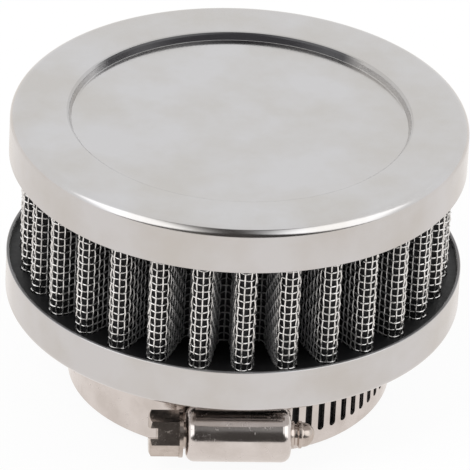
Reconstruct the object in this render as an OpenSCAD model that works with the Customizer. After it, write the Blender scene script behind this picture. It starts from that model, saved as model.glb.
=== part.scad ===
// Round intake air filter: two pressed steel caps, a pleated gauze element between wire meshes,
// a rubber neck and a worm drive clamp. Z is up and the neck's mouth is at the origin.

/* [Caps] */
// Outside diameter of both pressed caps
cap_d = 80; // [78:0.5:96]
// Height of each cap's rolled skirt
cap_depth = 8.3; // [7.6:0.1:11]
// Sheet thickness of the caps
cap_sheet = 0.6; // [0.4:0.1:1]
// Outside radius of the pressed edge between face and skirt
cap_edge_r = 1.7; // [1.2:0.1:2.8]
// Distance from the bottom cap's underside to the top cap's rim face
cap_span = 36.4; // [32:0.1:60]
// Diameter of the dish pressed in the top cap, at its mouth
dish_d = 60.6; // [54:0.2:66]
// Depth of the dish
dish_depth = 2.4; // [1.6:0.1:3]
// Slope of the dish's wall, in degrees from flat
dish_slope = 65; // [45:1:75]
// Rounding of the dish's mouth
dish_mouth_r = 1.2; // [1.1:0.1:1.6]
// Rounding of the dish's floor
dish_floor_r = 0.8; // [0.5:0.1:1.2]

/* [Neck] */
// Bore that slips over the carburettor's intake
neck_bore_d = 50; // [46:0.5:50.5]
// Rubber wall of the neck
neck_wall = 2.9; // [2:0.1:3.2]
// Length of neck below the bottom cap
neck_drop = 15.7; // [14.8:0.1:24]
// Width of the flange that is cast in inside the bottom cap
neck_flange = 4; // [2:0.1:6]
// Thickness of the flange
neck_flange_t = 1.6; // [1:0.1:2.4]
// Bevel at the mouth of the bore
bore_bevel = 0.6; // [0.3:0.1:0.8]
// Bevel round the outside of the mouth
mouth_bevel = 1; // [0.5:0.1:1]

/* [Element] */
// Number of pleats
pleat_count = 30; // [24:1:31]
// Diameter over the tips of the gauze pleats
pleat_tip_d = 74.2; // [72:0.2:75]
// Diameter at the gauze's inner folds
pleat_root_d = 53; // [52.4:0.2:55]
// Radius of the gauze at the tip of a pleat
pleat_tip_r = 1.35; // [1.3:0.05:1.5]
// Radius of the gauze in the valley between two pleats
pleat_valley_r = 1.65; // [1.5:0.05:1.8]
// Thickness of the oiled gauze
gauze_t = 0.5; // [0.4:0.05:0.55]
// Wire thickness of both meshes
wire_d = 0.32; // [0.25:0.01:0.34]
// Number of level wires in the outer mesh
level_wire_count = 7; // [3:1:7]
// Number of level wires in the inner mesh
inner_wire_count = 5; // [3:1:7]
// Upright wires round each pleat tip of the outer mesh
tip_wires = 3; // [1:1:3]
// Depth of the sealing compound's surface below each cap's edge
seal_recess = 1.2; // [0.5:0.1:2]
// Depth of the element's ends in the sealing compound
seal_embed = 2.6; // [1:0.1:2.8]

/* [Clamp] */
// Width of the band
band_w = 12.7; // [10.4:0.1:13]
// Thickness of the band
band_t = 0.6; // [0.5:0.05:0.7]
// Angle between two slots of the band
slot_pitch = 5.15; // [5:0.05:6]
// Width of a slot
slot_w = 1.3; // [1.2:0.05:1.5]
// Length of a slot
slot_len = 7.7; // [6:0.1:8]
// Number of slots
slot_count = 30; // [12:1:30]
// Length of the screw housing
housing_len = 18.2; // [16:0.2:18.6]
// Sheet thickness of the screw housing
housing_sheet = 0.7; // [0.6:0.05:0.8]
// Outside radius of the worm
worm_r = 4; // [3.8:0.05:4.2]
// Radius of the worm between its threads
worm_core_r = 2.6; // [2.5:0.05:2.8]
// Width of a thread at its crest
thread_w = 0.5; // [0.4:0.05:0.6]
// Depth to which the threads reach into the slots
thread_bite = 0.45; // [0.2:0.05:0.5]
// Width of the screw's hexagon across its flats
hex_flats = 7; // [6:0.1:7.2]
// Length of the hexagon
hex_len = 5.2; // [4:0.1:6]
// Width of the screwdriver slot
driver_slot_w = 1.8; // [1:0.1:2]
// Depth of the screwdriver slot
driver_slot_depth = 1.4; // [1:0.1:2.4]

/* [Hidden] */
$fn = 96;

// Small gaps of a laid fit, between crossing wires and round the turning screw
fit_gap = 0.05;
wire_gap = 0.03;
turn_gap = 0.15;

cap_r = cap_d / 2;
neck_bore_r = neck_bore_d / 2;
neck_r = neck_bore_r + neck_wall;
bottom_floor_z = neck_drop + cap_sheet;
top_z = neck_drop + cap_span;
bottom_seal_z = neck_drop + cap_depth - seal_recess;
top_seal_z = top_z - cap_depth + seal_recess;
bottom_groove_z = bottom_seal_z - seal_embed;
top_groove_z = top_seal_z + seal_embed;
element_z0 = bottom_groove_z + fit_gap;
element_z1 = top_groove_z - fit_gap;

half_pitch = 180 / pleat_count;
tip_centre_r = pleat_tip_d / 2 - pleat_tip_r;
valley_centre_r = pleat_root_d / 2 + gauze_t + pleat_valley_r;
tip_centre = [tip_centre_r, 0];
valley_centre = valley_centre_r * [cos(half_pitch), sin(half_pitch)];
// Distances of each wire layer from the gauze's outer face, inwards below zero
upright_in = wire_gap;
upright_out = upright_in + wire_d;
level_in = upright_out + wire_gap;
level_out = level_in + wire_d;
inner_level_out = -gauze_t - wire_gap;
inner_level_in = inner_level_out - wire_d;
inner_upright_out = inner_level_in - wire_gap;
inner_upright_in = inner_upright_out - wire_d;
// A pleat's flank runs straight between its tip's arc and the valley's arc
flank_run = valley_centre - tip_centre;
flank_face = atan2(flank_run[1], flank_run[0]) - 90
    + asin((pleat_tip_r + pleat_valley_r) / norm(flank_run));

// Radial layers of the clamp, outwards: the band's first turn, then the lap of its tail
band_in_r = neck_r + fit_gap;
lap_in_r = band_in_r + band_t + fit_gap;
lap_out_r = lap_in_r + band_t;
saddle_in_r = lap_out_r + fit_gap;
saddle_out_r = saddle_in_r + housing_sheet;
clamp_z0 = fit_gap;
band_z0 = clamp_z0 + housing_sheet + fit_gap;
band_z1 = band_z0 + band_w;
screw_z = band_z0 + band_w / 2;
// Angles round the neck from the front, towards the screw's tip
fixed_end_angle = 16;
ramp_end_angle = 21;
ramp_start_angle = 66;
tail_end_angle = -26;
saddle_angle = 14.5;
first_slot_angle = tail_end_angle + 5.4;
// The screw's axis lies across the front, at a tangent to the band
screw_y = -(lap_out_r + worm_r - thread_bite);
thread_pitch = (lap_out_r - band_t / 2) * slot_pitch * PI / 180;
bore_r = worm_r + turn_gap;
barrel_r = bore_r + housing_sheet;
barrel_edge_r = 1.6;
end_wall = 1;
half_barrel = housing_len / 2;
half_worm = half_barrel - end_wall - turn_gap;
thread_foot_w = thread_w + 0.9;
collar_r = 4.2;
collar_t = 0.65;
collar_gap = 0.5;
shank_r = 2.4;
nose_r = 2.15;
nose_reach = 4.2;
head_x = -(half_barrel + collar_gap + collar_t);

// Points along an arc, and the corners of the straight-sided line that goes round it
function spoke(a) = [cos(a), sin(a)];
function arc(c, r, a, b, n) = [for (i = [0:n]) c + r * spoke(a + (b - a) * i / n)];
function around(c, r, a, b, n) =
    [for (i = [0:n - 1]) c + r / cos((b - a) / n / 2) * spoke(a + (b - a) * (i + 0.5) / n)];
function turned(p, a) = [p[0] * cos(a) - p[1] * sin(a), p[0] * sin(a) + p[1] * cos(a)];
function flipped(list) = [for (i = [len(list) - 1:-1:0]) list[i]];

// Outer edge of a cap at depth t in its sheet, from the flat face to the end of the skirt
function edge_points(t) =
    arc([cap_r - cap_edge_r, -cap_edge_r], cap_edge_r - t, 90, 0, 8);
function skirt_points(t) = concat(edge_points(t), [[cap_r - t, -cap_depth]]);
// Dish of the top cap at depth t in its sheet, from the axis outwards
dish_fillets = dish_mouth_r + dish_floor_r;
dish_wall_h = dish_depth - dish_fillets * (1 - cos(dish_slope));
dish_floor_end = dish_d / 2 - dish_fillets * sin(dish_slope) - dish_wall_h / tan(dish_slope);
function dish_points(t) = concat(
    [[0, -dish_depth - t]],
    arc([dish_floor_end, dish_floor_r - dish_depth], dish_floor_r + t, -90, dish_slope - 90, 6),
    arc([dish_d / 2, -dish_mouth_r], dish_mouth_r - t, 90 + dish_slope, 90, 8)
);

// Outline of all pleats at distance s outside the gauze's outer face
function pleat_points(s) = concat(
    arc(tip_centre, pleat_tip_r + s, -flank_face, flank_face, 6),
    arc(valley_centre, pleat_valley_r - s, flank_face + 180, 180 - flank_face + 2 * half_pitch, 4)
);
// The same with few corners, for the wires outside and inside the gauze
function outer_wire_points(s) = concat(
    around(tip_centre, pleat_tip_r + s, -flank_face, flank_face, 4),
    arc(valley_centre, pleat_valley_r - s, 225 + half_pitch, 135 + half_pitch, 1)
);
function inner_wire_points(s) = concat(
    [tip_centre + [pleat_tip_r + s, 0]],
    around(valley_centre, pleat_valley_r - s, flank_face + 180,
        180 - flank_face + 2 * half_pitch, 3)
);
function all_round(points) =
    [for (i = [0:pleat_count - 1], p = points) turned(p, 2 * half_pitch * i - 90)];

module closed_wall(inside, outside) {
    difference() {
        polygon(all_round(outside));
        polygon(all_round(inside));
    }
}

module level_wires(inside, outside, count) {
    pitch = (top_seal_z - bottom_seal_z) / (count + 0.5);
    for (i = [0:count - 1])
        translate([0, 0, bottom_seal_z + (i + 0.75) * pitch - wire_d / 2])
            linear_extrude(wire_d)
                closed_wall(inside, outside);
}

// Upright wires at the given directions from a point of every pleat
module upright_wires(centre, r, directions) {
    for (i = [0:pleat_count - 1], a = directions)
        rotate(2 * half_pitch * i - 90)
            translate([(centre + r * spoke(a))[0], (centre + r * spoke(a))[1], element_z0])
                cylinder(d = wire_d, h = element_z1 - element_z0, $fn = 6);
}

// Section of the slot that the pleated element's ends are cast into
module element_groove() {
    closed_wall(pleat_points(inner_upright_in - wire_gap), pleat_points(level_out + wire_gap));
}

module top_cap() {
    color("gainsboro")
        translate([0, 0, top_z])
            rotate_extrude()
                polygon(concat(
                    dish_points(0), skirt_points(0),
                    flipped(concat(dish_points(cap_sheet), skirt_points(cap_sheet)))
                ));
}

module top_seal() {
    color("dimgray") {
        rotate_extrude()
            translate([0, top_z])
                polygon(concat(
                    dish_points(cap_sheet), edge_points(cap_sheet),
                    [[cap_r - cap_sheet, top_groove_z - top_z], [0, top_groove_z - top_z]]
                ));
        translate([0, 0, top_seal_z])
            linear_extrude(seal_embed)
                difference() {
                    circle(cap_r - cap_sheet);
                    element_groove();
                }
    }
}

module outer_mesh() {
    step = 2 * flank_face / (tip_wires + 1);
    color("silver") {
        level_wires(outer_wire_points(level_in), outer_wire_points(level_out), level_wire_count);
        upright_wires(
            tip_centre, pleat_tip_r + (upright_in + upright_out) / 2,
            [for (i = [1:tip_wires]) i * step - flank_face]
        );
    }
}

module filter_gauze() {
    color("black")
        translate([0, 0, element_z0])
            linear_extrude(element_z1 - element_z0)
                closed_wall(pleat_points(-gauze_t), pleat_points(0));
}

module inner_mesh() {
    color("silver") {
        level_wires(
            inner_wire_points(inner_level_in), inner_wire_points(inner_level_out),
            inner_wire_count
        );
        upright_wires(
            valley_centre, pleat_valley_r - (inner_upright_in + inner_upright_out) / 2,
            [180 + half_pitch]
        );
    }
}

module bottom_seal() {
    seal_in_r = neck_bore_r + fit_gap;
    seal_out_r = cap_r - cap_sheet;
    flange_r = neck_r + neck_flange;
    flange_z = bottom_floor_z + neck_flange_t;
    color("dimgray") {
        rotate_extrude()
            polygon(concat(
                [
                    [seal_in_r, bottom_groove_z], [seal_in_r, flange_z],
                    [flange_r, flange_z], [flange_r, bottom_floor_z]
                ],
                [for (p = edge_points(cap_sheet)) [p[0], neck_drop - p[1]]],
                [[seal_out_r, bottom_groove_z]]
            ));
        translate([0, 0, bottom_groove_z])
            linear_extrude(seal_embed)
                difference() {
                    circle(seal_out_r);
                    circle(seal_in_r);
                    element_groove();
                }
    }
}

module bottom_cap() {
    hole_r = neck_r + fit_gap;
    profile = concat(
        [[hole_r, 0]], skirt_points(0), flipped(skirt_points(cap_sheet)), [[hole_r, -cap_sheet]]
    );
    color("gainsboro")
        translate([0, 0, neck_drop])
            rotate_extrude()
                polygon([for (p = profile) [p[0], -p[1]]]);
}

module neck() {
    flange_r = neck_r + neck_flange;
    flange_z = bottom_floor_z + neck_flange_t;
    color("black")
        rotate_extrude()
            polygon([
                [neck_bore_r, bore_bevel], [neck_bore_r + bore_bevel, 0],
                [neck_r - mouth_bevel, 0], [neck_r, mouth_bevel], [neck_r, bottom_floor_z],
                [flange_r, bottom_floor_z], [flange_r, flange_z], [neck_bore_r, flange_z]
            ]);
}

// The band is one strip that runs from its fixed end round the back and on over that end
strip_steps = 134;
strip_turn = fixed_end_angle + 360 - tail_end_angle;
function strip_angle(i) = fixed_end_angle - strip_turn * i / strip_steps;
function climb(s) = s * s * (3 - 2 * s);
function strip_in_r(a) = band_in_r + (lap_in_r - band_in_r)
    * climb(max(0, min(1, (ramp_start_angle - 360 - a) / (ramp_start_angle - ramp_end_angle))));
function strip_points(depth) = [
    for (i = [0:strip_steps])
        (strip_in_r(strip_angle(i)) + depth) * spoke(strip_angle(i) - 90)
];

// A shape drawn on the band, seen from outside, cut from radius a to radius b at an angle
module through_band(angle, a, b) {
    rotate(angle)
        translate([0, -a, 0])
            rotate([90, 0, 0])
                linear_extrude(b - a)
                    children();
}

module band_slot() {
    straight = slot_len - slot_w;
    translate([0, screw_z])
        square([slot_w, straight], center = true);
    for (side = [-1, 1])
        translate([0, screw_z + side * straight / 2])
            circle(d = slot_w, $fn = 32);
}

module tail_corner() {
    polygon([[-1, -1], [2, -1], [0.9, 0.35], [0.35, 0.9], [-1, 3]]);
}

module clamp_band() {
    color("silver")
        difference() {
            translate([0, 0, band_z0])
                linear_extrude(band_w)
                    polygon(concat(strip_points(0), flipped(strip_points(band_t))));
            // Slots under the lap do not reach the first turn
            for (k = [0:slot_count - 1])
                let (a = first_slot_angle + k * slot_pitch)
                    through_band(a, a < ramp_end_angle ? lap_in_r - fit_gap / 2 : band_in_r - 1,
                        lap_out_r + 1)
                        band_slot();
            for (side = [0, 1])
                through_band(tail_end_angle, lap_in_r - fit_gap / 2, lap_out_r + 1)
                    translate([0, side == 0 ? band_z0 : band_z1])
                        mirror([0, side])
                            tail_corner();
        }
}

// A solid of revolution whose axis lies along X, from points of radius and x
module round_bar(points) {
    translate([0, screw_y, screw_z])
        rotate([0, 90, 0])
            rotate_extrude()
                polygon(points);
}

module clamp_housing() {
    saddle_h = band_w + 2 * (housing_sheet + fit_gap);
    trim_r = saddle_in_r + housing_sheet / 4;
    color("silver")
        difference() {
            union() {
                // Saddle that wraps both turns of the band
                translate([0, 0, clamp_z0])
                    rotate(-90 - saddle_angle)
                        rotate_extrude(angle = 2 * saddle_angle)
                            polygon([
                                [band_in_r, 0], [saddle_out_r, 0], [saddle_out_r, saddle_h],
                                [band_in_r, saddle_h], [band_in_r, saddle_h - housing_sheet],
                                [saddle_in_r, saddle_h - housing_sheet],
                                [saddle_in_r, housing_sheet], [band_in_r, housing_sheet]
                            ]);
                difference() {
                    round_bar(concat(
                        [[0, -half_barrel]],
                        arc([barrel_r - barrel_edge_r, barrel_edge_r - half_barrel],
                            barrel_edge_r, -90, 0, 8),
                        arc([barrel_r - barrel_edge_r, half_barrel - barrel_edge_r],
                            barrel_edge_r, 0, 90, 8),
                        [[0, half_barrel]]
                    ));
                    translate([0, 0, band_z0])
                        cylinder(r = trim_r, h = band_w);
                }
            }
            round_bar([
                [0, -half_barrel - 1], [shank_r + turn_gap, -half_barrel - 1],
                [shank_r + turn_gap, end_wall - half_barrel], [bore_r, end_wall - half_barrel],
                [bore_r, half_barrel - end_wall], [shank_r + turn_gap, half_barrel - end_wall],
                [shank_r + turn_gap, half_barrel + 1], [0, half_barrel + 1]
            ]);
        }
}

// Threads as rings, each in line with a slot of the band
first_thread = ceil((-half_worm + thread_foot_w) / thread_pitch - first_slot_angle / slot_pitch);
last_thread = floor((half_worm - thread_foot_w) / thread_pitch - first_slot_angle / slot_pitch);
function thread_x(k) = (first_slot_angle / slot_pitch + k) * thread_pitch;

module clamp_screw() {
    color("silver") {
        round_bar(concat(
            [
                [0, head_x], [collar_r, head_x], [collar_r, head_x + collar_t],
                [shank_r, head_x + collar_t], [shank_r, -half_worm], [worm_core_r, -half_worm]
            ],
            [
                for (k = [first_thread:last_thread])
                    for (p = [
                        [worm_core_r, -thread_foot_w], [worm_r, -thread_w],
                        [worm_r, thread_w], [worm_core_r, thread_foot_w]
                    ])
                        [p[0], thread_x(k) + p[1] / 2]
            ],
            [
                [worm_core_r, half_worm], [shank_r, half_worm],
                [shank_r, half_barrel + 0.5], [shank_r - 0.4, half_barrel + 0.7],
                [shank_r - 0.4, half_barrel + 1.1], [shank_r, half_barrel + 1.4],
                [shank_r, half_barrel + 1.8]
            ],
            arc([0, half_barrel + nose_reach - nose_r], nose_r, 0, 90, 8)
        ));
        // Hexagon with a bevelled end and a screwdriver slot
        difference() {
            intersection() {
                translate([head_x - hex_len, screw_y, screw_z])
                    rotate([90, 0, 90])
                        linear_extrude(hex_len)
                            circle(d = hex_flats / cos(30), $fn = 6);
                round_bar([
                    [0, head_x - hex_len], [hex_flats * 0.48, head_x - hex_len],
                    [hex_flats * 0.6, head_x - hex_len + 0.5], [hex_flats * 0.6, head_x],
                    [0, head_x]
                ]);
            }
            translate([head_x - hex_len, screw_y, screw_z])
                rotate([30, 0, 0])
                    translate([-1, -hex_flats, -driver_slot_w / 2])
                        cube([driver_slot_depth + 1, 2 * hex_flats, driver_slot_w]);
        }
    }
}

top_cap();
top_seal();
outer_mesh();
filter_gauze();
inner_mesh();
bottom_seal();
bottom_cap();
neck();
clamp_band();
clamp_housing();
clamp_screw();
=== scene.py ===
"""Looks of the round intake air filter: finishes, woven wire meshes, pressed caps and clamp screw.

The scene is in metres in the solids' own axes: +Z up, the neck's mouth at the origin, the clamp's
screw housing on the -Y side. Sizes in the classes of the filter's parts are in millimetres.
"""

import logging
import math
from dataclasses import dataclass, field
from enum import Enum
from typing import Any

import bmesh
import bpy
from mathutils import Matrix, Vector

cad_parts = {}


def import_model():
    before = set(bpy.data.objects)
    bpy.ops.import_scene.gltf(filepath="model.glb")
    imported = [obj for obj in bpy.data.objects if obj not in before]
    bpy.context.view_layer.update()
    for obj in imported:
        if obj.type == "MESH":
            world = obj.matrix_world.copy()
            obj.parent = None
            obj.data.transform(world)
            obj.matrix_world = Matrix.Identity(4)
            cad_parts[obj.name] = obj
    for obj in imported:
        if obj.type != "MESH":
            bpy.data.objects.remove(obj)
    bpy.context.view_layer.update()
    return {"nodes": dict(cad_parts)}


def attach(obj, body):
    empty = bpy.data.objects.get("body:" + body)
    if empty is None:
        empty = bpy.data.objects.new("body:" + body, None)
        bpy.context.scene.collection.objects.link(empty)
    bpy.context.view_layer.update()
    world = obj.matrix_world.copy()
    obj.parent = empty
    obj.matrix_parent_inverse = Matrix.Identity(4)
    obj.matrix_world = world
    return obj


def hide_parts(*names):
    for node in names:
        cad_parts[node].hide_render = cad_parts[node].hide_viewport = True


LOG = logging.getLogger("air_filter")
MM = 0.001
# A profile's point at a smaller radius than this, in millimetres, is on the axis
AXIS_REACH = 1e-6
# Colour mixes have their factor and colours on these inputs, and their result on this output
FACTOR, FIRST, SECOND, MIXED = 0, 6, 7, 2
Point = tuple[float, float]
Span = tuple[float, float]


class Piece(Enum):
    """Which CAD body a piece moves with."""

    FILTER = "filter"
    SCREW = "clamp_screw"


class Slot(Enum):
    """Material slots of the record that would suit the new pieces; none is given to them here."""

    CAPS = "polished_steel"
    SCREW = "screw_steel"
    WIRE = "mesh_wire"


def linear(colour: str) -> tuple[float, float, float, float]:
    """Turns an sRGB colour into Blender's linear one.

    Args:
        colour: Six hex digits after a hash sign.

    Returns:
        Linear red, green and blue, and an alpha of 1.
    """
    values = [int(colour[i : i + 2], 16) / 255 for i in (1, 3, 5)]
    red, green, blue = (
        v / 12.92 if v <= 0.04045 else ((v + 0.055) / 1.055) ** 2.4 for v in values
    )
    return red, green, blue, 1.0


def add(
    tree: bpy.types.NodeTree, kind: str, inputs: dict[int | str, Any], **settings: Any
) -> bpy.types.Node:
    """Adds a node with its settings, and fills or links its inputs.

    Args:
        tree: Node tree that gets the node.
        kind: Blender's name for the node's type.
        inputs: Value or output socket for each input, by name or number.
        **settings: Attributes of the node, such as its operation.

    Returns:
        The new node.
    """
    node = tree.nodes.new(kind)
    for name, value in settings.items():
        setattr(node, name, value)
    for key, value in inputs.items():
        if isinstance(value, bpy.types.NodeSocket):
            tree.links.new(value, node.inputs[key])
        else:
            node.inputs[key].default_value = value
    return node


def new_material(name: str, bare: bool = False) -> tuple[bpy.types.Material, bpy.types.NodeTree]:
    """Makes a material that has nodes.

    Args:
        name: Name of the material.
        bare: Whether its first nodes are removed.

    Returns:
        The material and its node tree.
    """
    made = bpy.data.materials.new(name)
    made.use_nodes = True
    if bare:
        made.node_tree.nodes.clear()
    return made, made.node_tree


def new_object(name: str, data: bpy.types.ID | None) -> bpy.types.Object:
    """Makes an object at the origin and links it to the scene.

    Args:
        name: Name of the object.
        data: Its mesh, curve, camera or light.

    Returns:
        The object.
    """
    made = bpy.data.objects.new(name, data)
    bpy.context.scene.collection.objects.link(made)
    return made


def mesh_piece(
    name: str, vertices: list[Vector], faces: list[list[int]], material: bpy.types.Material
) -> bpy.types.Object:
    """Makes a smooth-shaded mesh object at the origin.

    Args:
        name: Name of the object and its mesh.
        vertices: Points in metres.
        faces: Vertex numbers of each face, counter-clockwise from outside.
        material: Material of every face.

    Returns:
        The object, linked to the scene.
    """
    mesh = bpy.data.meshes.new(name)
    mesh.from_pydata(vertices, [], faces)
    mesh.materials.append(material)
    mesh.shade_smooth()
    return new_object(name, mesh)


def dress_node(node: bpy.types.Object, material: bpy.types.Material) -> None:
    """Gives a CAD node its material.

    Args:
        node: The CAD node's object.
        material: Its material.
    """
    node.data.materials.clear()
    node.data.materials.append(material)


@dataclass(frozen=True)
class Metal:
    """A bare metal whose sheen and colour vary a little from place to place.

    The grain is coarser than real polishing or drawing marks are, so that it shows. Where the
    mesh's own point attribute says so, the metal is dull and dark: truly dull on the caps' sheared
    lips, and painted shade on the dish's back wall, on its mouth and deep in the wire mesh's
    folds.
    """

    name: str
    colour: str
    smudge_colour: str
    roughness: Span
    smudge_mm: float
    grain_mm: float
    grain_depth_mm: float
    wave_mm: float = 0.0
    wave_depth_mm: float = 0.0
    scuff_mm: float = 0.0
    # Dull dark colour: a sheared edge's own, and also the colour of painted shade
    dull_and_shade_colour: str = "#5d564c"
    smudge_range: Span = (0.36, 0.62)
    scuff_range: Span = (0.56, 0.68)
    scuff_roughness: float = 0.55

    def material(self) -> bpy.types.Material:
        """Builds the node material.

        Returns:
            The metal as a Principled material on Object coordinates.
        """
        made, tree = new_material(self.name)
        spot = add(tree, "ShaderNodeTexCoord", {}).outputs["Object"]
        smudge = add(
            tree,
            "ShaderNodeTexNoise",
            {"Vector": spot, "Scale": 1 / (self.smudge_mm * MM), "Detail": 4.0, "Roughness": 0.55},
        )
        low, high = self.smudge_range
        clean = add(
            tree,
            "ShaderNodeMapRange",
            {"Value": smudge.outputs["Fac"], "From Min": low, "From Max": high},
        ).outputs[0]
        tint = add(
            tree,
            "ShaderNodeMix",
            {FACTOR: clean, FIRST: linear(self.smudge_colour), SECOND: linear(self.colour)},
            data_type="RGBA",
        )
        # The point attribute darkens the metal: real dullness on sheared lips, painted shade
        # elsewhere
        dull_and_shade = add(tree, "ShaderNodeAttribute", {}, attribute_name="dull_and_shade").outputs["Fac"]
        base = add(
            tree,
            "ShaderNodeMix",
            {FACTOR: dull_and_shade, FIRST: tint.outputs[MIXED], SECOND: linear(self.dull_and_shade_colour)},
            data_type="RGBA",
        )
        bare = add(tree, "ShaderNodeMath", {0: 1.0, 1: dull_and_shade}, operation="SUBTRACT")
        shader = tree.nodes["Principled BSDF"]
        tree.links.new(base.outputs[MIXED], shader.inputs["Base Color"])
        tree.links.new(bare.outputs[0], shader.inputs["Metallic"])
        tree.links.new(self.sheen(tree, spot, clean), shader.inputs["Roughness"])
        tree.links.new(self.relief(tree, spot), shader.inputs["Normal"])
        return made

    def sheen(
        self, tree: bpy.types.NodeTree, spot: bpy.types.NodeSocket, clean: bpy.types.NodeSocket
    ) -> bpy.types.NodeSocket:
        """Adds the roughness: smoother where the metal is clean, and rough in the scuffs.

        Args:
            tree: The material's node tree.
            spot: Output with the object's coordinates.
            clean: Output that runs from 0 in a smudge to 1 on clean metal.

        Returns:
            Output with the roughness.
        """
        smooth, rough = self.roughness
        sheen = add(
            tree, "ShaderNodeMapRange", {"Value": clean, "To Min": rough, "To Max": smooth}
        ).outputs[0]
        if not self.scuff_mm:
            return sheen
        scratch = add(
            tree,
            "ShaderNodeTexNoise",
            {"Vector": spot, "Scale": 1 / (self.scuff_mm * MM), "Detail": 8.0, "Roughness": 0.7},
        )
        low, high = self.scuff_range
        scuff = add(
            tree,
            "ShaderNodeMapRange",
            {
                "Value": scratch.outputs["Fac"],
                "From Min": low,
                "From Max": high,
                "To Min": 0.0,
                "To Max": self.scuff_roughness,
            },
        )
        return add(
            tree, "ShaderNodeMath", {0: sheen, 1: scuff.outputs[0]}, operation="MAXIMUM"
        ).outputs[0]

    def relief(
        self, tree: bpy.types.NodeTree, spot: bpy.types.NodeSocket
    ) -> bpy.types.NodeSocket:
        """Adds the fine grain and, on drawn sheet, its slow waves.

        Args:
            tree: The material's node tree.
            spot: Output with the object's coordinates.

        Returns:
            Output with the normal.
        """
        lower: dict[str, bpy.types.NodeSocket] = {}
        for size, detail, depth in (
            (self.grain_mm, 2.0, self.grain_depth_mm),
            (self.wave_mm, 1.0, self.wave_depth_mm),
        ):
            if not size:
                break
            noise = add(
                tree,
                "ShaderNodeTexNoise",
                {"Vector": spot, "Scale": 1 / (size * MM), "Detail": detail},
            )
            bump = add(
                tree,
                "ShaderNodeBump",
                {"Height": noise.outputs["Fac"], "Strength": 1.0, "Distance": depth * MM, **lower},
            )
            lower = {"Normal": bump.outputs["Normal"]}
        return lower["Normal"]


@dataclass(frozen=True)
class Cast:
    """A dark moulded, poured or dipped surface: rubber, sealing compound or oiled cloth."""

    name: str
    colour: str
    light_colour: str
    roughness: float
    grain_mm: float
    grain_depth_mm: float
    woven: bool = False

    def material(self) -> bpy.types.Material:
        """Builds the node material.

        Returns:
            The dark surface as a Principled material on Object coordinates.
        """
        made, tree = new_material(self.name)
        spot = add(tree, "ShaderNodeTexCoord", {}).outputs["Object"]
        scale = 1 / (self.grain_mm * MM)
        if self.woven:
            threads = {"Vector": spot, "Scale": scale, "Randomness": 0.25}
            height = add(tree, "ShaderNodeTexVoronoi", threads).outputs["Distance"]
        else:
            grain = {"Vector": spot, "Scale": scale, "Detail": 3.0}
            height = add(tree, "ShaderNodeTexNoise", grain).outputs["Fac"]
        tint = add(
            tree,
            "ShaderNodeMix",
            {FACTOR: height, FIRST: linear(self.colour), SECOND: linear(self.light_colour)},
            data_type="RGBA",
        )
        bump = add(
            tree,
            "ShaderNodeBump",
            {"Height": height, "Strength": 1.0, "Distance": self.grain_depth_mm * MM},
        )
        shader = tree.nodes["Principled BSDF"]
        shader.inputs["Roughness"].default_value = self.roughness
        tree.links.new(tint.outputs[MIXED], shader.inputs["Base Color"])
        tree.links.new(bump.outputs["Normal"], shader.inputs["Normal"])
        return made


# Pressed stainless sheet, polished after drawing: a soft mirror with faint cloudy smears
POLISHED_STAINLESS = Metal(
    name="polished stainless sheet",
    colour="#cbcacb",
    smudge_colour="#c4c1be",
    roughness=(0.12, 0.19),
    smudge_mm=16.0,
    grain_mm=0.6,
    grain_depth_mm=0.0006,
    wave_mm=26.0,
    wave_depth_mm=0.05,
    dull_and_shade_colour="#3a393c",
)
# Rolled stainless strip of the clamp: warmer than the caps, bright, with fine scuffs
CLAMP_STAINLESS = Metal(
    name="rolled stainless strip",
    colour="#d5cfcc",
    smudge_colour="#c9c2be",
    roughness=(0.12, 0.2),
    smudge_mm=6.0,
    grain_mm=0.35,
    grain_depth_mm=0.0012,
    scuff_mm=1.4,
)
# Zinc plated steel of the screw: darker and duller than the strip, and scuffed by nut drivers
SCREW_STEEL = Metal(
    name="zinc plated steel",
    colour="#c3b9b2",
    smudge_colour="#b2a8a0",
    roughness=(0.15, 0.24),
    smudge_mm=2.6,
    grain_mm=0.3,
    grain_depth_mm=0.003,
    scuff_mm=0.9,
)
# Bright drawn wire of the woven meshes, with painted shade that darkens it deep in the folds
BRIGHT_WIRE = Metal(
    name="bright drawn wire",
    colour="#f5f4f3",
    smudge_colour="#dfdedc",
    roughness=(0.18, 0.3),
    smudge_mm=3.0,
    grain_mm=0.4,
    grain_depth_mm=0.001,
    dull_and_shade_colour="#34343a",
)
# Cotton gauze wet with filter oil: near black with the threads just showing
OILED_GAUZE = Cast(
    name="oiled cotton gauze",
    colour="#08080b",
    light_colour="#141418",
    roughness=0.75,
    grain_mm=0.55,
    grain_depth_mm=0.1,
    woven=True,
)
# Poured polyurethane that set black, with a slightly uneven skin
POURED_SEAL = Cast(
    name="poured polyurethane",
    colour="#060607",
    light_colour="#0d0d0f",
    roughness=0.5,
    grain_mm=2.2,
    grain_depth_mm=0.12,
)
# Moulded nitrile rubber: matt, with the mould's fine texture
MOULDED_RUBBER = Cast(
    name="moulded nitrile rubber",
    colour="#131416",
    light_colour="#1e1f21",
    roughness=0.58,
    grain_mm=0.5,
    grain_depth_mm=0.02,
)


def arc(centre: Point, radius: float, start: float, end: float, steps: int) -> list[Point]:
    """Points along an arc.

    Args:
        centre: Centre of the arc.
        radius: Radius of the arc.
        start: First angle in degrees.
        end: Last angle in degrees.
        steps: Number of straight steps.

    Returns:
        The points from start to end.
    """
    angles = [math.radians(start + (end - start) * i / steps) for i in range(steps + 1)]
    return [
        (centre[0] + radius * math.cos(a), centre[1] + radius * math.sin(a)) for a in angles
    ]


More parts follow.
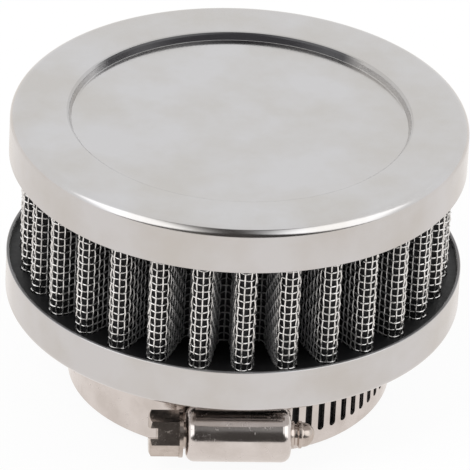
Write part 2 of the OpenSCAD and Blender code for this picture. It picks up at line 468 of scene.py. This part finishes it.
def revolve(
    name: str, profile: list[Point], segments: int, material: bpy.types.Material
) -> bpy.types.Object:
    """Turns a closed profile of radius and height round the Z axis.

    Args:
        name: Name of the piece.
        profile: Corners in millimetres, counter-clockwise with radius to the right.
        segments: Number of steps round the axis.
        material: Material of the piece.

    Returns:
        The piece, with a single point wherever the profile meets the axis.
    """
    points: list[Vector] = []
    rings: list[list[int]] = []
    for radius, height in profile:
        on_axis = abs(radius) < AXIS_REACH
        rings.append([len(points) + (0 if on_axis else i) for i in range(segments)])
        for i in range(1 if on_axis else segments):
            turn = 2 * math.pi * i / segments
            points.append(
                Vector((radius * math.cos(turn), radius * math.sin(turn), height)) * MM
            )
    faces: list[list[int]] = []
    for low, high in zip(rings, rings[1:] + rings[:1]):
        for i in range(segments):
            j = (i + 1) % segments
            face = list(dict.fromkeys([low[i], low[j], high[j], high[i]]))
            if len(face) > 2:
                faces.append(face)
    return mesh_piece(name, points, faces, material)


@dataclass
class PleatForm:
    """The line that the pleated element follows, seen from above."""

    count: int = 30
    tip_diameter: float = 74.2
    root_diameter: float = 53.0
    tip_radius: float = 1.35
    valley_radius: float = 1.65
    gauze: float = 0.5
    tip_steps: int = 12
    valley_steps: int = 8

    def outline(self, offset: float) -> list[Point]:
        """Closed outline at a distance outside the gauze's outer face.

        Args:
            offset: Distance in millimetres, negative inside.

        Returns:
            Corners in millimetres, counter-clockwise from the front pleat.
        """
        half = 180 / self.count
        tip = Vector((self.tip_diameter / 2 - self.tip_radius, 0))
        reach = self.root_diameter / 2 + self.gauze + self.valley_radius
        valley = reach * Vector((math.cos(math.radians(half)), math.sin(math.radians(half))))
        run = valley - tip
        lean = math.asin((self.tip_radius + self.valley_radius) / run.length)
        # Angle at which the tip's arc ends and the pleat's straight side starts
        face = math.degrees(math.atan2(run.y, run.x) + lean) - 90
        pleat = arc(tip.to_tuple(), self.tip_radius + offset, -face, face, self.tip_steps)
        pleat += arc(
            valley.to_tuple(),
            self.valley_radius - offset,
            face + 180,
            180 - face + 2 * half,
            self.valley_steps,
        )
        points: list[Point] = []
        for i in range(self.count):
            turn = math.radians(2 * half * i - 90)
            cos, sin = math.cos(turn), math.sin(turn)
            points += [(x * cos - y * sin, x * sin + y * cos) for x, y in pleat]
        return points


def wire_inputs(tree: bpy.types.NodeTree) -> bpy.types.Node:
    """Args:
        tree: Geometry node tree without an interface.

    Returns:
        The tree's input node.
    """
    face = tree.interface
    face.new_socket("Path", in_out="INPUT", socket_type="NodeSocketGeometry")
    for name in ("Around", "Levels", "Steps", "Sides"):
        face.new_socket(name, in_out="INPUT", socket_type="NodeSocketInt")
    for name in ("Low", "High", "Wire radius", "Crimp"):
        face.new_socket(name, in_out="INPUT", socket_type="NodeSocketFloat")
    face.new_socket("Material", in_out="INPUT", socket_type="NodeSocketMaterial")
    face.new_socket("Wires", in_out="OUTPUT", socket_type="NodeSocketGeometry")
    return tree.nodes.new("NodeGroupInput")


def finish_wires(
    tree: bpy.types.NodeTree, given: bpy.types.Node, curves: bpy.types.NodeSocket
) -> None:
    """Gives wire curves their round section, material and output.

    Args:
        tree: Geometry node tree.
        given: The tree's input node.
        curves: Output socket with the wires' centre lines.
    """
    section = add(
        tree,
        "GeometryNodeCurvePrimitiveCircle",
        {"Resolution": given.outputs["Sides"], "Radius": given.outputs["Wire radius"]},
    )
    tube = add(
        tree,
        "GeometryNodeCurveToMesh",
        {"Curve": curves, "Profile Curve": section.outputs["Curve"], "Fill Caps": True},
    )
    smooth = add(tree, "GeometryNodeSetShadeSmooth", {"Geometry": tube.outputs["Mesh"]})
    real = add(tree, "GeometryNodeRealizeInstances", {"Geometry": smooth.outputs["Geometry"]})
    dressed = add(
        tree,
        "GeometryNodeSetMaterial",
        {"Geometry": real.outputs["Geometry"], "Material": given.outputs["Material"]},
    )
    add(tree, "NodeGroupOutput", {"Wires": dressed.outputs["Geometry"]})


def level_wires_tree() -> bpy.types.NodeTree:
    """Node tree that lays crimped level wires one above the other along the path.

    Returns:
        The geometry node tree.
    """
    tree = bpy.data.node_groups.new("level wires", "GeometryNodeTree")
    given = wire_inputs(tree)
    samples = add(
        tree,
        "ShaderNodeMath",
        {0: given.outputs["Around"], 1: given.outputs["Steps"]},
        operation="MULTIPLY",
    )
    even = add(
        tree,
        "GeometryNodeResampleCurve",
        {"Curve": given.outputs["Path"], "Count": samples.outputs[0]},
    )
    copies = add(
        tree,
        "GeometryNodeDuplicateElements",
        {"Geometry": even.outputs["Curve"], "Amount": given.outputs["Levels"]},
        domain="SPLINE",
    )
    number = copies.outputs["Duplicate Index"]
    middle = add(tree, "ShaderNodeMath", {0: number, 1: 0.5}, operation="ADD")
    share = add(
        tree,
        "ShaderNodeMath",
        {0: middle.outputs[0], 1: given.outputs["Levels"]},
        operation="DIVIDE",
    )
    height = add(
        tree,
        "ShaderNodeMapRange",
        {
            "Value": share.outputs[0],
            "To Min": given.outputs["Low"],
            "To Max": given.outputs["High"],
        },
    )
    along = add(tree, "GeometryNodeSplineParameter", {})
    crossing = add(
        tree,
        "ShaderNodeMath",
        {0: along.outputs["Index"], 1: given.outputs["Steps"]},
        operation="DIVIDE",
    )
    # Each level wire is half a wave behind the one below, as in a plain weave
    phase = add(tree, "ShaderNodeMath", {0: crossing.outputs[0], 1: number}, operation="ADD")
    angle = add(
        tree, "ShaderNodeMath", {0: phase.outputs[0], 1: math.pi}, operation="MULTIPLY"
    )
    swing = add(tree, "ShaderNodeMath", {0: angle.outputs[0]}, operation="COSINE")
    push = add(
        tree,
        "ShaderNodeMath",
        {0: swing.outputs[0], 1: given.outputs["Crimp"]},
        operation="MULTIPLY",
    )
    # Sideways from the path: the tangent turned about Z
    tangent = add(tree, "GeometryNodeInputTangent", {})
    side = add(
        tree,
        "ShaderNodeVectorMath",
        {0: tangent.outputs["Tangent"], 1: (0.0, 0.0, 1.0)},
        operation="CROSS_PRODUCT",
    )
    crimp = add(
        tree,
        "ShaderNodeVectorMath",
        {0: side.outputs[0], "Scale": push.outputs[0]},
        operation="SCALE",
    )
    rise = add(tree, "ShaderNodeCombineXYZ", {"Z": height.outputs[0]})
    shift = add(
        tree, "ShaderNodeVectorMath", {0: crimp.outputs[0], 1: rise.outputs[0]}, operation="ADD"
    )
    # The shift is stored before the points move, because it depends on the path's own tangent
    kept = add(
        tree,
        "GeometryNodeStoreNamedAttribute",
        {"Geometry": copies.outputs["Geometry"], "Name": "shift", "Value": shift.outputs[0]},
        data_type="FLOAT_VECTOR",
        domain="POINT",
    )
    read = add(
        tree, "GeometryNodeInputNamedAttribute", {"Name": "shift"}, data_type="FLOAT_VECTOR"
    )
    laid = add(
        tree,
        "GeometryNodeSetPosition",
        {"Geometry": kept.outputs["Geometry"], "Offset": read.outputs["Attribute"]},
    )
    finish_wires(tree, given, laid.outputs["Geometry"])
    return tree


def upright_wires_tree() -> bpy.types.NodeTree:
    """Node tree that stands crimped upright wires along the path, alternate ones turned about.

    Returns:
        The geometry node tree.
    """
    tree = bpy.data.node_groups.new("upright wires", "GeometryNodeTree")
    given = wire_inputs(tree)
    even = add(
        tree,
        "GeometryNodeResampleCurve",
        {"Curve": given.outputs["Path"], "Count": given.outputs["Around"]},
    )
    feet = add(
        tree, "GeometryNodeCurveToPoints", {"Curve": even.outputs["Curve"]}, mode="EVALUATED"
    )
    # One upright wire along Z, crimped along its own X
    bottom = add(tree, "ShaderNodeCombineXYZ", {"Z": given.outputs["Low"]})
    top = add(tree, "ShaderNodeCombineXYZ", {"Z": given.outputs["High"]})
    line = add(
        tree,
        "GeometryNodeCurvePrimitiveLine",
        {"Start": bottom.outputs[0], "End": top.outputs[0]},
    )
    samples = add(
        tree,
        "ShaderNodeMath",
        {0: given.outputs["Levels"], 1: given.outputs["Steps"], 2: 1.0},
        operation="MULTIPLY_ADD",
    )
    fine = add(
        tree,
        "GeometryNodeResampleCurve",
        {"Curve": line.outputs["Curve"], "Count": samples.outputs[0]},
    )
    along = add(tree, "GeometryNodeSplineParameter", {})
    wave = add(
        tree,
        "ShaderNodeMath",
        {0: along.outputs["Factor"], 1: given.outputs["Levels"]},
        operation="MULTIPLY",
    )
    angle = add(tree, "ShaderNodeMath", {0: wave.outputs[0], 1: math.pi}, operation="MULTIPLY")
    swing = add(tree, "ShaderNodeMath", {0: angle.outputs[0]}, operation="SINE")
    push = add(
        tree,
        "ShaderNodeMath",
        {0: swing.outputs[0], 1: given.outputs["Crimp"]},
        operation="MULTIPLY",
    )
    offset = add(tree, "ShaderNodeCombineXYZ", {"X": push.outputs[0]})
    wire = add(
        tree,
        "GeometryNodeSetPosition",
        {"Geometry": fine.outputs["Curve"], "Offset": offset.outputs[0]},
    )
    # Each foot's X axis points out of the mesh, and every other wire is turned half round
    side = add(
        tree,
        "ShaderNodeVectorMath",
        {0: feet.outputs["Tangent"], 1: (0.0, 0.0, 1.0)},
        operation="CROSS_PRODUCT",
    )
    number = add(tree, "GeometryNodeInputIndex", {})
    odd = add(tree, "ShaderNodeMath", {0: number.outputs[0], 1: 2.0}, operation="MODULO")
    sign = add(
        tree, "ShaderNodeMath", {0: odd.outputs[0], 1: 2.0, 2: -1.0}, operation="MULTIPLY_ADD"
    )
    facing = add(
        tree,
        "ShaderNodeVectorMath",
        {0: side.outputs[0], "Scale": sign.outputs[0]},
        operation="SCALE",
    )
    spin = add(
        tree,
        "FunctionNodeAlignRotationToVector",
        {"Vector": facing.outputs[0]},
        axis="X",
        pivot_axis="Z",
    )
    standing = add(
        tree,
        "GeometryNodeInstanceOnPoints",
        {
            "Points": feet.outputs["Points"],
            "Instance": wire.outputs["Geometry"],
            "Rotation": spin.outputs["Rotation"],
        },
    )
    real = add(
        tree, "GeometryNodeRealizeInstances", {"Geometry": standing.outputs["Instances"]}
    )
    finish_wires(tree, given, real.outputs["Geometry"])
    return tree


@dataclass
class WovenMesh:
    """A woven wire mesh that follows the pleats, made of level and upright crimped wires.

    Its offset is from the gauze's outer face, and its ends lie in the sealing compound.
    """

    name: str
    replaces: str
    offset: float
    around: int
    levels: int
    low: float = 22.2
    high: float = 45.6
    wire: float = 0.34
    # Swing of a wire to each side, as a share of its thickness
    crimp: float = 0.36
    steps: int = 2
    sides: int = 4
    # Depth below the pleats' tips at which the painted fold shade starts, how fast it darkens and
    # its most
    shade_start: float = 0.4
    shade_rate: float = 1.6
    shade_most: float = 0.66
    form: PleatForm = field(default_factory=PleatForm)

    def path(self) -> bpy.types.Object:
        """Draws the closed curve that the mesh's middle surface follows.

        Returns:
            The curve object.
        """
        outline = self.form.outline(self.offset)
        curve = bpy.data.curves.new(self.name + "_path", "CURVE")
        curve.dimensions = "3D"
        spline = curve.splines.new("POLY")
        spline.points.add(len(outline) - 1)
        for point, (x, y) in zip(spline.points, outline):
            point.co = (x * MM, y * MM, 0, 1)
        spline.use_cyclic_u = True
        return new_object(self.name + "_path", curve)

    def grow(
        self, name: str, tree: bpy.types.NodeTree, values: dict[str, Any]
    ) -> bpy.types.Object:
        """Runs a node tree on the path and keeps the result as a plain mesh.

        Args:
            name: Name of the piece.
            tree: Geometry node tree.
            values: Value of each named input of the tree.

        Returns:
            The finished piece.
        """
        path = self.path()
        modifier = path.modifiers.new(name, "NODES")
        modifier.node_group = tree
        for item in tree.interface.items_tree:
            if item.item_type == "SOCKET" and item.name in values:
                modifier[item.identifier] = values[item.name]
        graph = bpy.context.evaluated_depsgraph_get()
        mesh = bpy.data.meshes.new_from_object(path.evaluated_get(graph), depsgraph=graph)
        mesh.name = name
        curve = path.data
        bpy.data.objects.remove(path)
        bpy.data.curves.remove(curve)
        return new_object(name, mesh)

    def fold_shade(self, piece: bpy.types.Object) -> None:
        """Paints shade on the wires: none on the pleats' tips, darker deep in the folds.

        Args:
            piece: Wires that get the mark.
        """
        tip, fold = self.form.tip_diameter / 2 * MM, self.form.root_diameter / 2 * MM
        layer = piece.data.attributes.new("dull_and_shade", "FLOAT", "POINT")
        for point, value in zip(piece.data.vertices, layer.data):
            depth = (tip - self.shade_start * MM - point.co.xy.length) / (tip - fold)
            value.value = min(max(depth * self.shade_rate, 0.0), self.shade_most)

    def build(self, material: bpy.types.Material) -> list[bpy.types.Object]:
        """Builds the level and the upright wires.

        Args:
            material: Material of the wires.

        Returns:
            The two pieces.
        """
        values = {
            "Around": self.around,
            "Levels": self.levels,
            "Low": self.low * MM,
            "High": self.high * MM,
            "Wire radius": self.wire / 2 * MM,
            "Crimp": self.wire * self.crimp * MM,
            "Steps": self.steps,
            "Sides": self.sides,
            "Material": material,
        }
        made = [
            self.grow(self.name + "_levels", level_wires_tree(), values),
            self.grow(self.name + "_uprights", upright_wires_tree(), values),
        ]
        for piece in made:
            self.fold_shade(piece)
            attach(piece, Piece.FILTER.value)
            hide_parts(self.replaces)
        return made


@dataclass
class FilterElement:
    """The oiled gauze between its two wire meshes, set in sealing compound at both ends."""

    meshes: tuple[WovenMesh, ...] = (
        WovenMesh("outer_mesh", replaces="outer_mesh", offset=0.365, around=620, levels=17),
        WovenMesh("inner_mesh", replaces="inner_mesh", offset=-0.865, around=360, levels=12),
    )

    def build(self, nodes: dict[str, bpy.types.Object]) -> list[bpy.types.Object]:
        """Dresses the gauze and the sealing compound, and weaves the meshes.

        Args:
            nodes: The CAD nodes by name.

        Returns:
            The pieces of both meshes.
        """
        dress_node(nodes["filter_gauze"], OILED_GAUZE.material())
        seal = POURED_SEAL.material()
        for name in ("top_seal", "bottom_seal"):
            dress_node(nodes[name], seal)
        wire = BRIGHT_WIRE.material()
        return [piece for mesh in self.meshes for piece in mesh.build(wire)]


@dataclass
class PressedCaps:
    """The two polished caps: drawn sheet with a rounded edge, the top one with a round dish."""

    radius: float = 40.0
    depth: float = 8.3
    sheet: float = 0.6
    edge: float = 1.7
    low: float = 15.7
    top: float = 52.1
    hole: float = 27.95
    # Width of the narrow ring of faces round the bottom cap's hole
    hole_ring: float = 4.0
    # Rounding of the sheared end of the sheet
    lip: float = 0.12
    lip_dullness: float = 0.75
    dish_radius: float = 30.3
    dish_depth: float = 1.4
    dish_slope: float = 73.0
    dish_mouth: float = 0.7
    dish_floor: float = 0.15
    # Rings of points on the dish's floor, as shares of its radius
    floor_rings: tuple[float, ...] = (0.0, 0.5, 0.9)
    # The mouth's fillet has faint painted shade, down to this depth and this far in from its
    # radius
    rim_shade: float = 0.16
    rim_depth: float = 0.1
    rim_zone: Span = (0.1, 1.0)
    # The steep wall lies this far in from the dish's radius, and ends this far above its floor
    wall_zone: Span = (0.15, 2.0)
    wall_foot: float = 0.02
    # The wall is darkened with painted shade this far round from the back, to the left and right,
    # in degrees
    shade_left: float = 60.0
    shade_right: float = 52.0
    shade_fade: float = 11.0
    segments: int = 288
    edge_steps: int = 16
    floor_steps: int = 10
    mouth_steps: int = 12
    crease: float = 40.0
    # Points this near to the height of the sheet's end are on its lip
    lip_reach: float = 0.05

    def skirt(self, inside: float) -> list[Point]:
        """Edge and skirt at a depth in the sheet, from the flat face to the skirt's end.

        Args:
            inside: Depth below the visible face in millimetres.

        Returns:
            Points of radius and height, with the cap's flat face at height 0.
        """
        centre = (self.radius - self.edge, -self.edge)
        edge = arc(centre, self.edge - inside, 90, 0, self.edge_steps)
        return edge + [(self.radius - inside, self.lip - self.depth)]

    def rim(self) -> list[Point]:
        """Edge, skirt and end of the sheet, out and down its visible face and back up inside.

        Returns:
            Points of radius and height, with the cap's flat face at height 0.
        """
        end = [
            (self.radius - self.lip, -self.depth),
            (self.radius - self.sheet + self.lip, -self.depth),
        ]
        return self.skirt(0.0) + end + self.skirt(self.sheet)[::-1]

    def dish(self, inside: float) -> list[Point]:
        """Dish at a depth in the sheet, from the axis outwards.

        Args:
            inside: Depth below the visible face in millimetres.

        Returns:
            Points of radius and height, with the cap's flat face at height 0.
        """
        slope = math.radians(self.dish_slope)
        fillets = self.dish_mouth + self.dish_floor
        wall = self.dish_depth - fillets * (1 - math.cos(slope))
        floor_end = self.dish_radius - fillets * math.sin(slope) - wall / math.tan(slope)
        middle = [(floor_end * share, -self.dish_depth - inside) for share in self.floor_rings]
        floor = arc(
            (floor_end, self.dish_floor - self.dish_depth),
            self.dish_floor + inside,
            -90,
            self.dish_slope - 90,
            self.floor_steps,
        )
        mouth = arc(
            (self.dish_radius, -self.dish_mouth),
            self.dish_mouth - inside,
            90 + self.dish_slope,
            90,
            self.mouth_steps,
        )
        return middle + floor + mouth

    def dish_shade(self, point: Vector) -> float:
        """How much painted shade the dish has at a point: dark on the back of its steep wall,
        faint on its mouth.

        Args:
            point: Point of a cap in millimetres.

        Returns:
            0 where the sheet is plain polished metal, up to 1 where the painted shade is darkest.
        """
        inside = self.dish_radius - point.xy.length
        below = self.top - point.z
        steep = self.rim_depth < below < self.dish_depth - self.wall_foot
        if not (steep and self.wall_zone[0] < inside < self.wall_zone[1]):
            # A faint painted shade on the mouth's fillet
            on_rim = self.rim_zone[0] < inside < self.rim_zone[1] and below < self.rim_depth
            return self.rim_shade if on_rim else 0.0
        # Painted shade: darkest at the back of the wall, fading out to the left and right
        from_back = math.degrees(math.atan2(point.x, point.y))
        end = self.shade_left if from_back < 0 else self.shade_right
        return min(max((end - abs(from_back)) / self.shade_fade, self.rim_shade), 1.0)

    def build(self) -> list[bpy.types.Object]:
        """Builds both caps.

        Returns:
            The top and the bottom cap.
        """
        steel = POLISHED_STAINLESS.material()
        line = self.dish(0.0) + self.rim() + self.dish(self.sheet)[::-1]
        top = revolve(
            "top_cap_sheet",
            [(r, self.top + z) for r, z in reversed(line)],
            self.segments,
            steel,
        )
        ring = [(self.hole, 0.0), (self.hole + self.hole_ring, 0.0)]
        line = ring + self.rim() + [(r, -self.sheet) for r, _ in reversed(ring)]
        low = revolve(
            "bottom_cap_sheet", [(r, self.low - z) for r, z in line], self.segments, steel
        )
        for piece, node, end in (
            (top, "top_cap", self.top - self.depth),
            (low, "bottom_cap", self.low + self.depth),
        ):
            piece.data.set_sharp_from_angle(angle=math.radians(self.crease))
            layer = piece.data.attributes.new("dull_and_shade", "FLOAT", "POINT")
            for vertex, value in zip(piece.data.vertices, layer.data):
                point = vertex.co / MM
                on_lip = abs(point.z - end) < self.lip_reach
                # The sheared lip is truly dull; elsewhere the value is painted shade on the dish
                value.value = self.lip_dullness if on_lip else self.dish_shade(point)
            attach(piece, Piece.FILTER.value)
            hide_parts(node)
        return [top, low]


@dataclass
class ClampedNeck:
    """The rubber neck and its worm drive clamp.

    The screw is shown turned by a sixth of a turn from its CAD node, with its slot facing as in
    the photograph.
    """

    axis_y: float = -32.75
    axis_z: float = 7.15
    turn: float = -60.0
    head_length: float = 5.0
    bevel: float = 0.16
    # Edges of the head that are sharper than this many degrees are rounded
    sharp_edge: float = 25.0
    # Faces that meet at less than this many degrees become one
    flat_fold: float = 0.5
    # Points that are nearer to each other than this become one
    same_point: float = 0.0005
    crease: float = 14.0

    def soften(self, mesh: bpy.types.Mesh) -> None:
        """Rounds the hexagon's edges a little, so that they catch the light.

        Args:
            mesh: The screw's mesh of loose triangles.
        """
        work = bmesh.new()
        work.from_mesh(mesh)
        bmesh.ops.remove_doubles(work, verts=work.verts, dist=self.same_point * MM)
        bmesh.ops.dissolve_limit(
            work, angle_limit=math.radians(self.flat_fold), verts=work.verts, edges=work.edges
        )
        head_end = min(v.co.x for v in work.verts) + self.head_length * MM
        sharp = [
            edge
            for edge in work.edges
            if max(v.co.x for v in edge.verts) < head_end
            and len(edge.link_faces) == 2
            and edge.calc_face_angle() > math.radians(self.sharp_edge)
        ]
        bmesh.ops.bevel(
            work,
            geom=sharp,
            offset=self.bevel * MM,
            segments=2,
            profile=0.5,
            affect="EDGES",
            clamp_overlap=True,
        )
        work.to_mesh(mesh)
        work.free()
        mesh.shade_smooth()
        mesh.set_sharp_from_angle(angle=math.radians(self.crease))

    def screw(self, node: bpy.types.Object) -> bpy.types.Object:
        """Builds the screw from the CAD node's form.

        Args:
            node: The CAD node of the screw.

        Returns:
            The turned screw, which takes the node's place.
        """
        mesh = node.data.copy()
        mesh.name = "clamp_screw_turned"
        centre = Vector((0, self.axis_y, self.axis_z)) * MM
        spin = Matrix.Rotation(math.radians(self.turn), 4, "X")
        turned = Matrix.Translation(centre) @ spin @ Matrix.Translation(-centre)
        mesh.transform(turned @ node.matrix_world)
        self.soften(mesh)
        mesh.materials.clear()
        mesh.materials.append(SCREW_STEEL.material())
        made = new_object(mesh.name, mesh)
        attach(made, Piece.SCREW.value)
        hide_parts("clamp_screw")
        return made

    def build(self, nodes: dict[str, bpy.types.Object]) -> list[bpy.types.Object]:
        """Dresses the neck, the band and the housing, and builds the screw.

        Args:
            nodes: The CAD nodes by name.

        Returns:
            The screw, as a list of one piece.
        """
        dress_node(nodes["neck"], MOULDED_RUBBER.material())
        strip = CLAMP_STAINLESS.material()
        for name in ("clamp_band", "clamp_housing"):
            dress_node(nodes[name], strip)
        return [self.screw(nodes["clamp_screw"])]


@dataclass
class Camera:
    """The photograph's camera: a long lens a little to the left of the clamp, slightly rolled."""

    azimuth: float = -4.0
    elevation: float = 30.5
    roll: float = 2.8
    distance: float = 1092.4
    focal_px: float = 6215.0
    image_px: float = 470.0
    sensor: float = 36.0
    # Nearest and farthest distance that it sees, in metres
    clip: Span = (0.05, 20.0)
    target: tuple[float, float, float] = (0.1, 0.0, 27.75)

    def build(self) -> None:
        """Makes the scene's camera."""
        turn, tilt = math.radians(self.azimuth), math.radians(self.elevation)
        level = math.cos(tilt)
        back = Vector((math.sin(turn) * level, -math.cos(turn) * level, math.sin(tilt)))
        right = Vector((math.cos(turn), math.sin(turn), 0.0))
        up = back.cross(right)
        spin = math.radians(self.roll)
        across = right * math.cos(spin) + up * math.sin(spin)
        upward = up * math.cos(spin) - right * math.sin(spin)
        data = bpy.data.cameras.new("camera")
        data.sensor_width = self.sensor
        data.lens = self.focal_px / self.image_px * self.sensor
        data.clip_start, data.clip_end = self.clip
        made = new_object("camera", data)
        place = Vector(self.target) * MM + back * self.distance * MM
        facing = Matrix((across, upward, back)).transposed().to_4x4()
        made.matrix_world = Matrix.Translation(place) @ facing
        bpy.context.scene.camera = made


@dataclass(frozen=True)
class Lamp:
    """A square soft lamp that gloss doesn't show, in metres and watts."""

    name: str
    place: tuple[float, float, float]
    size: float
    power: float
    aim: tuple[float, float, float] = (0.0, 0.0, 0.03)

    def build(self) -> None:
        """Hangs the lamp and aims it at the middle of the filter."""
        data = bpy.data.lights.new(self.name, "AREA")
        data.shape = "SQUARE"
        data.size = self.size
        data.energy = self.power
        lamp = new_object(self.name, data)
        lamp.location = self.place
        lamp.visible_glossy = False
        way = Vector(self.aim) - Vector(self.place)
        lamp.rotation_euler = way.to_track_quat("-Z", "Y").to_euler()


@dataclass
class Studio:
    """White floor and surroundings, soft lamps, and a dim room in front that only gloss sees.

    The floor's half width is in metres and the room's radius in millimetres.
    """

    floor_colour: str = "#fbfbfb"
    floor_gloss_colour: str = "#fffaf6"
    # Share of plain white in what the camera and gloss see of the floor: the rest keeps shadows
    floor_white: float = 0.93
    floor_half: float = 1.5
    world_light: float = 0.72
    room_colour: str = "#484543"
    # The room is a dome that reaches a little below the floor, in degrees
    room_radius: float = 1600.0
    room_foot: float = -8.0
    room_steps: int = 24
    room_segments: int = 64
    # Where the room's back edge fades, in radians forward from the zenith
    room_back: Span = (-0.02, 0.12)
    # Where its sides fade, as the sideways part of the direction
    room_side: Span = (0.8, 0.98)
    # Where the soft boxes fade in, and how much lower and further back they hang aside
    box_top: Span = (0.16, 0.28)
    box_top_slope: float = 0.5
    box_foot: Span = (0.64, 0.8)
    box_foot_slope: float = 0.75
    box_side: Span = (0.0, 0.46)
    box_middle: float = -0.05
    box_light: float = 1.75
    # One lamp hangs high on the left in front, the other high on the right
    lamps: tuple[Lamp, ...] = (
        Lamp("key", place=(-0.7, -0.5, 1.0), size=0.7, power=5.5),
        Lamp("fill", place=(0.8, 0.1, 0.9), size=0.6, power=3.2),
    )

    def seen(
        self, tree: bpy.types.NodeTree
    ) -> tuple[bpy.types.NodeSocket, bpy.types.NodeSocket]:
        """Adds the test for rays of the camera or of gloss.

        Args:
            tree: Node tree of the world or a material.

        Returns:
            Output that is 1 for camera rays, and one that is 1 for camera or glossy rays.
        """
        path = add(tree, "ShaderNodeLightPath", {})
        camera = path.outputs["Is Camera Ray"]
        either = add(
            tree,
            "ShaderNodeMath",
            {0: camera, 1: path.outputs["Is Glossy Ray"]},
            operation="MAXIMUM",
        )
        return camera, either.outputs[0]

    def world(self) -> None:
        """Sets surroundings that light softly and look white to the camera and to gloss."""
        world = bpy.data.worlds.new("white studio")
        bpy.context.scene.world = world
        world.use_nodes = True
        tree = world.node_tree
        tree.nodes.clear()
        _, seen = self.seen(tree)
        level = add(
            tree, "ShaderNodeMix", {0: seen, 2: self.world_light, 3: 1.0}, data_type="FLOAT"
        )
        sky = add(
            tree,
            "ShaderNodeBackground",
            {"Color": linear("#ffffff"), "Strength": level.outputs[0]},
        )
        add(tree, "ShaderNodeOutputWorld", {"Surface": sky.outputs[0]})

    def floor(self) -> bpy.types.Object:
        """Makes the white floor, which keeps the filter's shadow.

        Returns:
            The floor object.
        """
        made, tree = new_material("white floor", bare=True)
        camera, seen = self.seen(tree)
        matt = add(tree, "ShaderNodeBsdfDiffuse", {"Color": linear(self.floor_colour)})
        # Gloss shows the floor a little warmer than the camera does
        tone = add(
            tree,
            "ShaderNodeMix",
            {
                FACTOR: camera,
                FIRST: linear(self.floor_gloss_colour),
                SECOND: linear("#ffffff"),
            },
            data_type="RGBA",
        )
        glow = add(
            tree, "ShaderNodeEmission", {"Color": tone.outputs[MIXED], "Strength": 1.0}
        )
        share = add(
            tree, "ShaderNodeMath", {0: seen, 1: self.floor_white}, operation="MULTIPLY"
        )
        both = add(
            tree,
            "ShaderNodeMixShader",
            {0: share.outputs[0], 1: matt.outputs[0], 2: glow.outputs[0]},
        )
        add(tree, "ShaderNodeOutputMaterial", {"Surface": both.outputs[0]})
        corners = [Vector((x, y, 0)) for x, y in ((-1, -1), (1, -1), (1, 1), (-1, 1))]
        return mesh_piece("floor", [c * self.floor_half for c in corners], [[0, 1, 2, 3]], made)

    def room(self) -> bpy.types.Object:
        """Makes the dim room in front that the polished faces show, with a soft box each side.

        Returns:
            A dome that only gloss sees: dim from the zenith down to the floor in front, clear
            behind, and bright where the soft boxes hang.
        """
        made, tree = new_material("dim room", bare=True)
        spot = add(tree, "ShaderNodeTexCoord", {}).outputs["Object"]
        unit = add(tree, "ShaderNodeVectorMath", {0: spot}, operation="NORMALIZE")
        parts = add(tree, "ShaderNodeSeparateXYZ", {0: unit.outputs[0]})
        sideways, upward = parts.outputs["X"], parts.outputs["Z"]
        aside = add(tree, "ShaderNodeMath", {0: sideways}, operation="ABSOLUTE").outputs[0]
        forward = add(
            tree, "ShaderNodeMath", {0: parts.outputs["Y"], 1: -1.0}, operation="MULTIPLY"
        )
        # Angle forward from the zenith in radians
        lean = add(
            tree, "ShaderNodeMath", {0: forward.outputs[0], 1: upward}, operation="ARCTAN2"
        ).outputs[0]
        off_middle = add(
            tree, "ShaderNodeMath", {0: sideways, 1: self.box_middle}, operation="SUBTRACT"
        )
        beside = add(
            tree, "ShaderNodeMath", {0: off_middle.outputs[0]}, operation="ABSOLUTE"
        )
        top, foot = (
            add(
                tree, "ShaderNodeMath", {0: aside, 1: slope, 2: start}, operation="MULTIPLY_ADD"
            ).outputs[0]
            for slope, start in ((self.box_top_slope, lean), (self.box_foot_slope, upward))
        )
        in_front, at_side, box_top, box_foot, box_side = (
            add(
                tree,
                "ShaderNodeMapRange",
                {"Value": value, "From Min": low, "From Max": high},
                interpolation_type="SMOOTHSTEP",
            ).outputs[0]
            for value, (low, high) in (
                (lean, self.room_back),
                (aside, self.room_side),
                (top, self.box_top),
                (foot, self.box_foot),
                (beside.outputs[0], self.box_side),
            )
        )
        open_side = add(tree, "ShaderNodeMath", {0: 1.0, 1: at_side}, operation="SUBTRACT")
        cover = add(
            tree, "ShaderNodeMath", {0: in_front, 1: open_side.outputs[0]}, operation="MULTIPLY"
        )
        box = box_top
        for part in (box_foot, box_side):
            box = add(tree, "ShaderNodeMath", {0: box, 1: part}, operation="MULTIPLY").outputs[0]
        shade = add(
            tree,
            "ShaderNodeMix",
            {FACTOR: box, FIRST: linear(self.room_colour), SECOND: linear("#ffffff")},
            data_type="RGBA",
        )
        power = add(
            tree,
            "ShaderNodeMath",
            {0: box, 1: self.box_light - 1.0, 2: 1.0},
            operation="MULTIPLY_ADD",
        )
        glow = add(
            tree,
            "ShaderNodeEmission",
            {"Color": shade.outputs[MIXED], "Strength": power.outputs[0]},
        )
        clear = add(tree, "ShaderNodeBsdfTransparent", {})
        both = add(
            tree,
            "ShaderNodeMixShader",
            {0: cover.outputs[0], 1: clear.outputs[0], 2: glow.outputs[0]},
        )
        add(tree, "ShaderNodeOutputMaterial", {"Surface": both.outputs[0]})
        outline = arc((0, 0), self.room_radius, self.room_foot, 90, self.room_steps)
        dome = revolve("dim_room", outline, self.room_segments, made)
        dome.visible_camera = False
        dome.visible_diffuse = False
        dome.visible_shadow = False
        return dome

    def build(self) -> None:
        """Sets up the whole studio."""
        bpy.context.scene.view_settings.view_transform = "Standard"
        self.world()
        self.floor()
        self.room()
        for lamp in self.lamps:
            lamp.build()


def main() -> None:
    """Builds the scene: camera, studio, caps, filter element and clamped neck."""
    logging.basicConfig(level=logging.INFO, format="%(name)s: %(message)s")
    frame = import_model()
    nodes = frame["nodes"]
    Camera().build()
    Studio().build()
    pieces = PressedCaps().build()
    pieces += FilterElement().build(nodes)
    pieces += ClampedNeck().build(nodes)
    for piece in pieces:
        LOG.info("%s: %d faces", piece.name, len(piece.data.polygons))


if __name__ == "__main__":
    main()
